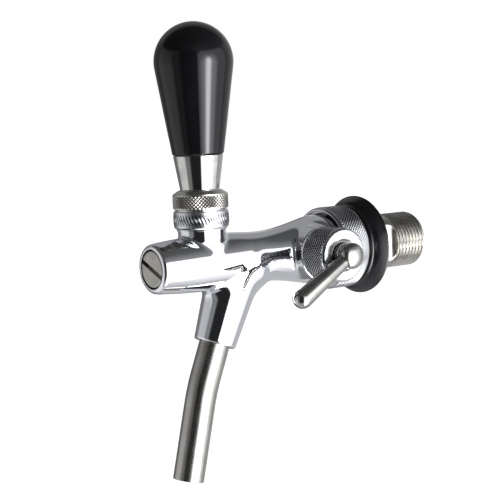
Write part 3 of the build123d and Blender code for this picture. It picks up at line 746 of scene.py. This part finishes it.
class Look:
    """Builds one procedural material, node by node."""

    def __init__(self, name):
        self.material = bpy.data.materials.new(name)
        self.material.use_nodes = True
        self.tree = self.material.node_tree
        self.shader = self.tree.nodes["Principled BSDF"]
        self.place = self.tree.nodes.new("ShaderNodeTexCoord").outputs["Object"]

    def link(self, source, target):
        """Joins an output to an input, or sets the input to a plain value."""
        if isinstance(source, bpy.types.NodeSocket):
            self.tree.links.new(source, target)
        else:
            target.default_value = source

    def math(self, operation, *values):
        node = self.tree.nodes.new("ShaderNodeMath")
        node.operation = operation
        for value, target in zip(values, node.inputs):
            self.link(value, target)
        return node.outputs[0]

    def vector(self, operation, *values):
        node = self.tree.nodes.new("ShaderNodeVectorMath")
        node.operation = operation
        for value, target in zip(values, node.inputs):
            self.link(value, target)
        return node.outputs["Value" if operation in ("DOT_PRODUCT", "LENGTH") else "Vector"]

    def join(self, x, y, z):
        node = self.tree.nodes.new("ShaderNodeCombineXYZ")
        for value, target in zip((x, y, z), node.inputs):
            self.link(value, target)
        return node.outputs[0]

    def noise(self, vector, scale, detail=3.0):
        node = self.tree.nodes.new("ShaderNodeTexNoise")
        self.link(vector, node.inputs["Vector"])
        node.inputs["Scale"].default_value = scale
        node.inputs["Detail"].default_value = detail
        return node.outputs["Fac"]

    def spread(self, value, low, high, to_low, to_high, smooth=False):
        """Maps a value's range onto another one."""
        node = self.tree.nodes.new("ShaderNodeMapRange")
        if smooth:
            node.interpolation_type = "SMOOTHSTEP"
        for source, target in zip((value, low, high, to_low, to_high), node.inputs):
            self.link(source, target)
        return node.outputs[0]

    def mix(self, share, first, second):
        node = self.tree.nodes.new("ShaderNodeMix")
        node.data_type = "RGBA"
        self.link(share, node.inputs["Factor"])
        self.link(first if isinstance(first, bpy.types.NodeSocket) else (*first, 1), node.inputs["A"])
        self.link(second if isinstance(second, bpy.types.NodeSocket) else (*second, 1), node.inputs["B"])
        return node.outputs["Result"]

    def grooves(self, amount):
        """The given amount of painted groove shade at the bottom of a knurl's grooves, falling to 0 on the
        tooth flanks.
        """
        node = self.tree.nodes.new("ShaderNodeAttribute")
        node.attribute_name = "crest"
        return self.spread(node.outputs["Fac"], 0.2, 0.65, amount, 0)

    def bump(self, height, distance, strength=1.0, base=None):
        node = self.tree.nodes.new("ShaderNodeBump")
        node.inputs["Strength"].default_value = strength
        node.inputs["Distance"].default_value = distance
        self.link(height, node.inputs["Height"])
        if base is not None:
            self.link(base, node.inputs["Normal"])
        return node.outputs["Normal"]

    def finish(self, **inputs):
        """Feeds the principled shader; an underscore in a name stands for a space."""
        for name, value in inputs.items():
            self.link(value, self.shader.inputs[name.replace("_", " ")])
        return self.material


def chrome(name, wave=0.3, groove_shade=0.0, polish=0.03, tone=1.0):
    """Polished chromium plate: a faint polishing wave, wipe marks, and painted shade darkening a knurl's
    grooves.
    """
    look = Look(name)
    dark, light = np.array((0.79, 0.805, 0.835)) * tone, np.array((0.84, 0.85, 0.87)) * tone
    tint = look.mix(look.noise(look.place, 60, 2), dark, light)
    # painted shade: the bottoms of a knurl's grooves are darkened to near black, standing in for the shade
    # that falls in them
    if groove_shade:
        tint = look.mix(look.grooves(groove_shade), tint, (0.03, 0.03, 0.035))
    haze = look.noise(look.vector("MULTIPLY", look.place, (1.0, 0.35, 1.0)), 900, 4)
    roughness = look.spread(haze, 0.3, 0.75, polish, polish + 0.07)
    waves = look.bump(look.noise(look.place, 75, 1), 0.00003 * wave)
    normal = look.bump(look.noise(look.place, 4000, 2), 0.0000006, base=waves)
    return look.finish(Base_Color=tint, Metallic=1.0, Roughness=roughness, Normal=normal)


def turning_marks(look, axis):
    """Noise that changes only along an axis and away from it, as a lathe tool leaves it."""
    offset = look.vector("SUBTRACT", look.place, Vector(axis.origin * MM))
    along = look.vector("DOT_PRODUCT", offset, Vector(axis.direction))
    on_axis = look.vector("MULTIPLY", look.join(along, along, along), Vector(axis.direction))
    radius = look.vector("LENGTH", look.vector("SUBTRACT", offset, on_axis))
    return look.noise(look.join(radius, along, 0.0), 5200, 3)


def turned_steel(name, axis, colour, roughness, groove_shade=0.0):
    """Satin stainless steel with turning marks and cloudy patches."""
    look = Look(name)
    marks = turning_marks(look, axis)
    clouds = look.noise(look.place, 220, 3)
    dark = tuple(0.80 * c for c in colour)
    light = tuple(min(1.0, 1.12 * c) for c in colour)
    tint = look.mix(look.spread(clouds, 0.3, 0.7, 0, 1), dark, light)
    # painted shade: the bottoms of a knurl's grooves are darkened to near black, standing in for the shade
    # that falls in them
    if groove_shade:
        tint = look.mix(look.grooves(groove_shade), tint, (0.04, 0.035, 0.03))
    rough = look.spread(marks, 0.25, 0.75, roughness * 0.7, roughness * 1.35)
    normal = look.bump(marks, 0.000004)
    return look.finish(Base_Color=tint, Metallic=1.0, Roughness=rough, Normal=normal)


def drawn_steel():
    """Drawn tube: fine streaks along its length and a satin sheen."""
    look = Look("tube_steel")
    lean = math.radians(TUBE_END_LEAN)
    across = look.vector("DOT_PRODUCT", look.place, Vector((0, math.cos(lean), -math.sin(lean))))
    along = look.vector("DOT_PRODUCT", look.place, Vector((0, math.sin(lean), math.cos(lean))))
    sideways = look.vector("DOT_PRODUCT", look.place, Vector(X))
    streaks = look.noise(look.join(sideways, across, look.math("MULTIPLY", along, 0.03)), 4200, 3)
    clouds = look.noise(look.place, 160, 3)
    dark, light = (0.40, 0.39, 0.365), (0.48, 0.47, 0.445)
    tint = look.mix(look.spread(clouds, 0.3, 0.7, 0, 1), dark, light)
    rough = look.spread(streaks, 0.25, 0.75, 0.16, 0.30)
    normal = look.bump(streaks, 0.000003)
    return look.finish(Base_Color=tint, Metallic=1.0, Roughness=rough, Normal=normal)


def black_phenolic():
    """Glossy black moulded handle: faint flow marks, tiny specks in the shine."""
    look = Look("black_phenolic")
    flow = look.noise(look.vector("MULTIPLY", look.place, (1.0, 1.0, 0.25)), 90, 3)
    dark, light = (0.0022, 0.0022, 0.0026), (0.0045, 0.0045, 0.005)
    tint = look.mix(look.spread(flow, 0.3, 0.7, 0, 1), dark, light)
    specks = look.noise(look.place, 3500, 2)
    dull = look.spread(specks, 0.55, 0.8, 0, 0.12)
    rough = look.math("ADD", look.spread(flow, 0.3, 0.7, 0.06, 0.11), dull)
    normal = look.bump(specks, 0.0000025)
    return look.finish(Base_Color=tint, Roughness=rough, Normal=normal, IOR=1.4)


def black_moulding():
    """Semi-gloss black flange with a fine moulded grain and light rub marks."""
    look = Look("black_moulding")
    grain = look.noise(look.place, 2600, 3)
    rub = look.noise(look.vector("MULTIPLY", look.place, (1.0, 3.0, 0.3)), 300, 4)
    dark, light = (0.003, 0.003, 0.0035), (0.008, 0.008, 0.009)
    tint = look.mix(look.spread(rub, 0.35, 0.7, 0, 1), dark, light)
    rough = look.spread(rub, 0.3, 0.7, 0.15, 0.24)
    return look.finish(Base_Color=tint, Roughness=rough, Normal=look.bump(grain, 0.000008), IOR=1.5)


def rubber():
    """Matt black seal rubber with a dusty bloom."""
    look = Look("seal_rubber")
    bloom = look.noise(look.place, 700, 4)
    dark, light = (0.008, 0.008, 0.008), (0.022, 0.022, 0.021)
    tint = look.mix(look.spread(bloom, 0.4, 0.7, 0, 1), dark, light)
    rough = look.spread(bloom, 0.3, 0.7, 0.45, 0.7)
    return look.finish(Base_Color=tint, Roughness=rough, Normal=look.bump(bloom, 0.00001))


def white_plastic():
    """Acetal cup or cone: milky white with faint tool marks."""
    look = Look("white_acetal")
    marks = look.noise(look.vector("MULTIPLY", look.place, (0.3, 0.3, 3.0)), 1500, 3)
    tint = look.mix(look.noise(look.place, 120, 2), (0.74, 0.73, 0.70), (0.84, 0.83, 0.80))
    rough = look.spread(marks, 0.3, 0.7, 0.32, 0.5)
    return look.finish(Base_Color=tint, Roughness=rough, Normal=look.bump(marks, 0.000006))


def brass():
    """Turned brass, slightly darkened in patches."""
    look = Look("turned_brass")
    marks = turning_marks(look, NECK_AXIS)
    patch = look.noise(look.place, 260, 3)
    tint = look.mix(look.spread(patch, 0.35, 0.7, 0, 1), (0.50, 0.33, 0.11), (0.72, 0.52, 0.22))
    rough = look.spread(marks, 0.25, 0.75, 0.18, 0.34)
    return look.finish(Base_Color=tint, Metallic=1.0, Roughness=rough, Normal=look.bump(marks, 0.000004))


def paint(piece, material):
    piece.data.materials.clear()
    piece.data.materials.append(material)
    return piece


def stand_in(piece, node, body, material):
    """Puts a new piece in a CAD node's place, on its body."""
    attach(piece, body)
    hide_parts(node)
    return paint(piece, material)


def paint_inner_pieces():
    """Materials for the CAD nodes that stay: seals, cups, valve and the hidden turned pieces."""
    black, white = rubber(), white_plastic()
    steel = turned_steel("inner_steel", SHANK_AXIS, (0.68, 0.67, 0.64), 0.2)
    stem = turned_steel("stem_steel", NECK_AXIS, (0.70, 0.69, 0.66), 0.14)
    looks = {black: ("front_plug_oring", "lever_oring", "piston_orings", "valve_seal", "spout_oring",
                     "stem_orings", "shank_washer"),
             white: ("lower_ball_seat", "upper_ball_seat", "stem_bush", "compensator_cone"),
             steel: ("valve_piston", "valve_screw"),
             stem: ("operating_lever",),
             brass(): ("handle_insert",)}
    for material, nodes in looks.items():
        for node in nodes:
            paint(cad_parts[node], material)


# ---- stage: floor, studio light, camera ---------------------------------------------------------

CAMERA_AZIMUTH, CAMERA_ELEVATION, CAMERA_ROLL = 53.37, 5.75, 2.64     # degrees
CAMERA_DISTANCE = 567.21
CAMERA_SHIFT = (-44.37, -2.47)      # sideways and up, from the frame's origin
CAMERA_LENS, SENSOR = 98.08, 36.0


def camera():
    azimuth, elevation = math.radians(CAMERA_AZIMUTH), math.radians(CAMERA_ELEVATION)
    roll = math.radians(CAMERA_ROLL)
    back = Vector((math.sin(azimuth) * math.cos(elevation), -math.cos(azimuth) * math.cos(elevation),
                   math.sin(elevation)))
    level = Vector((math.cos(azimuth), math.sin(azimuth), 0))
    upright = back.cross(level)
    right = level * math.cos(roll) - upright * math.sin(roll)
    up = level * math.sin(roll) + upright * math.cos(roll)
    place = back * CAMERA_DISTANCE + right * CAMERA_SHIFT[0] + up * CAMERA_SHIFT[1]
    data = bpy.data.cameras.new("camera")
    data.lens, data.sensor_width = CAMERA_LENS, SENSOR
    data.clip_start, data.clip_end = 0.01, 100
    eye = bpy.data.objects.new("camera", data)
    eye.matrix_world = Matrix.Translation(place * MM) @ Matrix((right, up, back)).transposed().to_4x4()
    bpy.context.scene.collection.objects.link(eye)
    bpy.context.scene.camera = eye


def floor():
    """Pale floor well below the spout, bright enough to run into the background."""
    drop = cad_box[0].z - 0.06
    size, steps = 12.0, 24
    angles = np.arange(steps) * 2 * math.pi / steps
    ring = np.stack([np.cos(angles), np.sin(angles), np.zeros(steps)], 1) * size / MM
    piece = mesh_piece("floor", ring + np.array((0, 0, drop / MM)), [tuple(range(steps))], 30)
    look = Look("pale_floor")
    mottle = look.noise(look.place, 3, 2)
    grey = look.mix(mottle, (0.90, 0.90, 0.90), (0.94, 0.94, 0.93))
    look.link((1.0, 1.0, 1.0, 1.0), look.shader.inputs["Emission Color"])
    look.finish(Base_Color=grey, Roughness=0.9, Emission_Strength=0.9)
    paint(piece, look.material)
    # the studio's own light from below stands for the floor in reflections
    piece.visible_glossy = piece.visible_diffuse = piece.visible_shadow = False


class Studio(Look):
    """The world's light: cards and soft boxes, placed by azimuth from the camera and by elevation."""

    def __init__(self):
        world = bpy.data.worlds.new("studio")
        bpy.context.scene.world = world
        world.use_nodes = True
        self.tree = world.node_tree
        direction = self.tree.nodes.new("ShaderNodeTexCoord").outputs["Generated"]
        turn = math.radians(CAMERA_AZIMUTH)
        to_right = self.vector("DOT_PRODUCT", direction, Vector((math.cos(turn), math.sin(turn), 0)))
        backwards = Vector((math.sin(turn), -math.cos(turn), 0))
        self.towards_camera = self.vector("DOT_PRODUCT", direction, backwards)
        up = self.vector("DOT_PRODUCT", direction, Vector((0, 0, 1)))
        degrees = 180 / math.pi
        azimuth = self.math("ARCTAN2", to_right, self.towards_camera)
        self.azimuth = self.math("MULTIPLY", azimuth, degrees)
        self.elevation = self.math("MULTIPLY", self.math("ARCSINE", up), degrees)
        self.light = 0.5

    def band(self, value, low, high, soft_low, soft_high):
        """1 between two limits and 0 outside them, with soft edges."""
        rise = self.spread(value, low - soft_low, low + soft_low, 0, 1, True)
        fall = self.spread(value, high - soft_high, high + soft_high, 1, 0, True)
        return self.math("MULTIPLY", rise, fall)

    def card(self, azimuths, elevations, radiance, soft=(2, 2), soft_up=(3, 2)):
        """Puts a card of one radiance over what is there."""
        mask = self.math("MULTIPLY", self.band(self.azimuth, *azimuths, *soft),
                         self.band(self.elevation, *elevations, *soft_up))
        change = self.math("SUBTRACT", radiance, self.light)
        self.light = self.math("ADD", self.light, self.math("MULTIPLY", mask, change))

    def soft_box(self, azimuths, elevations, radiance, rounding, blur=1.5):
        """A card whose outline is a rounded rectangle, fading out towards the floor."""
        reach_x, reach_y = (azimuths[1] - azimuths[0]) / 2, (elevations[1] - elevations[0]) / 2
        x = self.math("ABSOLUTE", self.math("SUBTRACT", self.azimuth, azimuths[0] + reach_x))
        y = self.math("MAXIMUM", self.math("SUBTRACT", self.elevation, elevations[0] + reach_y), 0.0)
        x = self.math("MAXIMUM", self.math("SUBTRACT", x, reach_x - rounding), 0.0)
        y = self.math("MAXIMUM", self.math("SUBTRACT", y, reach_y - rounding), 0.0)
        away = self.vector("LENGTH", self.join(x, y, 0.0))
        mask = self.math("MULTIPLY", self.spread(away, rounding - blur, rounding + blur, 1, 0, True),
                         self.spread(self.elevation, elevations[0] - 25, elevations[0] + 25, 0, 1, True))
        change = self.math("SUBTRACT", radiance, self.light)
        self.light = self.math("ADD", self.light, self.math("MULTIPLY", mask, change))

    def build(self):
        # floor, then the back, then what stands left and right of the object
        self.light = self.spread(self.elevation, -90, -20, 0.60, 0.48)
        self.card((112, 200), (-60, 25), 0.55, soft=(8, 10), soft_up=(20, 14))
        self.card((-185, -45), (-50, 27), 0.20, soft=(12, 12), soft_up=(20, 8))
        left = self.spread(self.elevation, -20, 20, 0.95, 0.50)
        self.card((-116, -63), (-60, 27), left, soft=(13, 8), soft_up=(20, 8))
        # ceiling, brighter towards the back and where the soft box glows on it
        back = self.spread(self.towards_camera, -0.40, -0.58, 0.085, 0.33, True)
        self.card((-200, 200), (27, 100), back, soft_up=(2, 2))
        glow = self.spread(self.elevation, 27, 52, 0.32, 0.10)
        self.card((5, 118), (27, 60), glow, soft=(10, 12), soft_up=(1, 8))
        # soft box with a hot streak down its middle, and the dark camera side
        self.soft_box((14, 106), (-50, 26), self.spread(self.azimuth, 60, 105, 1.75, 1.05), 16)
        self.soft_box((24, 72), (-60, 13), 4.8, 20, 9)
        self.soft_box((38, 54), (-60, 8), 19.0, 10, 6)
        self.card((-42, 13.5), (-42, 29), 0.02, soft=(10, 1.0), soft_up=(5, 1.5))
        view = self.tree.nodes.new("ShaderNodeLightPath").outputs["Is Camera Ray"]
        shown = self.mix(view, self.join(self.light, self.light, self.math("MULTIPLY", self.light, 1.03)),
                         (1.0, 1.0, 1.0))
        background = self.tree.nodes["Background"]
        self.link(shown, background.inputs["Color"])


# ---- build --------------------------------------------------------------------------------------

for make in (tap_body, neck_rim, front_plug, bonnet_nut, lever_collar, handle_ferrule, handle_knob,
             spout_tube, compensator_nut, compensator_stem, compensator_lever, coupling_nut, shank,
             wall_flange, paint_inner_pieces, floor, camera):
    make()
Studio().build()
bpy.context.scene.view_settings.view_transform = "Standard"
